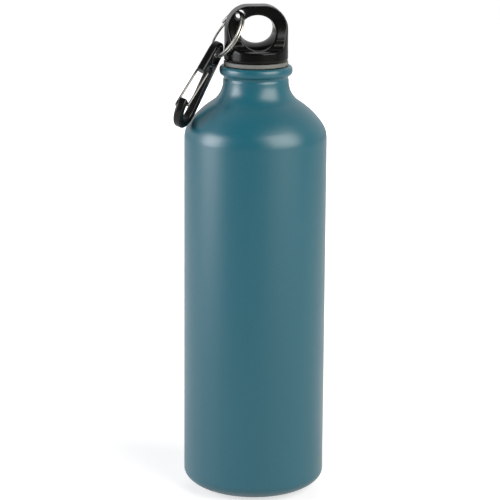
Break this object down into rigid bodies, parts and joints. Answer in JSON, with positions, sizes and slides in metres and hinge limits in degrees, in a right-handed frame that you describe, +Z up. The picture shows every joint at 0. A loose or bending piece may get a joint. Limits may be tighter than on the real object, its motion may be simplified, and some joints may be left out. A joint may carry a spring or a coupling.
{
  "type": "aluminium water bottle",
  "caption": "Painted aluminium drinking bottle with a screw-in loop cap, a silicone gasket, a split ring and a wire-gate carabiner clip.",
  "frame": {"origin": "centre of the standing plane under the bottle, on its axis", "axes": "+Z up along the bottle's axis; the cap's finger hole runs along Y; the ring and the clip hang on the -X side"},
  "size_m": [0.0802, 0.073, 0.2542],
  "materials": {
    "shell_paint": "satin teal-blue paint",
    "thread_ring_metal": "turned",
    "gasket_silicone": "matte",
    "cap_plastic": "gloss black",
    "ring_steel": "polished",
    "clip_black": "black anodised",
    "gate_steel": "drawn wire"
  },
  "bodies": {
    "bottle": {"bottle_shell": "shell_paint", "neck_thread_ring": "thread_ring_metal"},
    "gasket": {"gasket": "gasket_silicone"},
    "cap": {"loop_cap": "cap_plastic"},
    "ring": {"split_ring": "ring_steel"},
    "clip": {"carabiner_body": "clip_black"},
    "gate": {"wire_gate": "gate_steel"}
  },
  "joints": [
    {"name": "cap_rise", "type": "slide", "parent": "bottle", "child": "gasket", "axis": [0, 0, 1], "range_m": [0, 0.0135]},
    {"name": "cap_turn", "type": "hinge", "parent": "gasket", "child": "cap", "pos_m": [0, 0, 0.2266], "axis": [0, 0, 1], "range_deg": [-5, 1090]},
    {"name": "ring_swing", "type": "hinge", "parent": "cap", "child": "ring", "pos_m": [-0.0085, 0, 0.24968], "axis": [0, 1, 0], "range_deg": [0, 110]},
    {"name": "carabiner_ride", "type": "hinge", "parent": "ring", "child": "clip", "pos_m": [-0.01457, 0, 0.23959], "axis": [0.8385, 0.2079, -0.5037], "range_deg": [0, 35]},
    {"name": "gate_open", "type": "hinge", "parent": "clip", "child": "gate", "pos_m": [-0.03959, -0.01414, 0.20586], "axis": [-0.8178, 0.4921, 0.2985], "range_deg": [0, 16], "stiffness_Nm_per_rad": 0.03, "springref_deg": -17.19}
  ],
  "couplings": [
    {"joint": "cap_turn", "follows": "cap_rise", "rad_per_m": 1396.3}
  ]
}
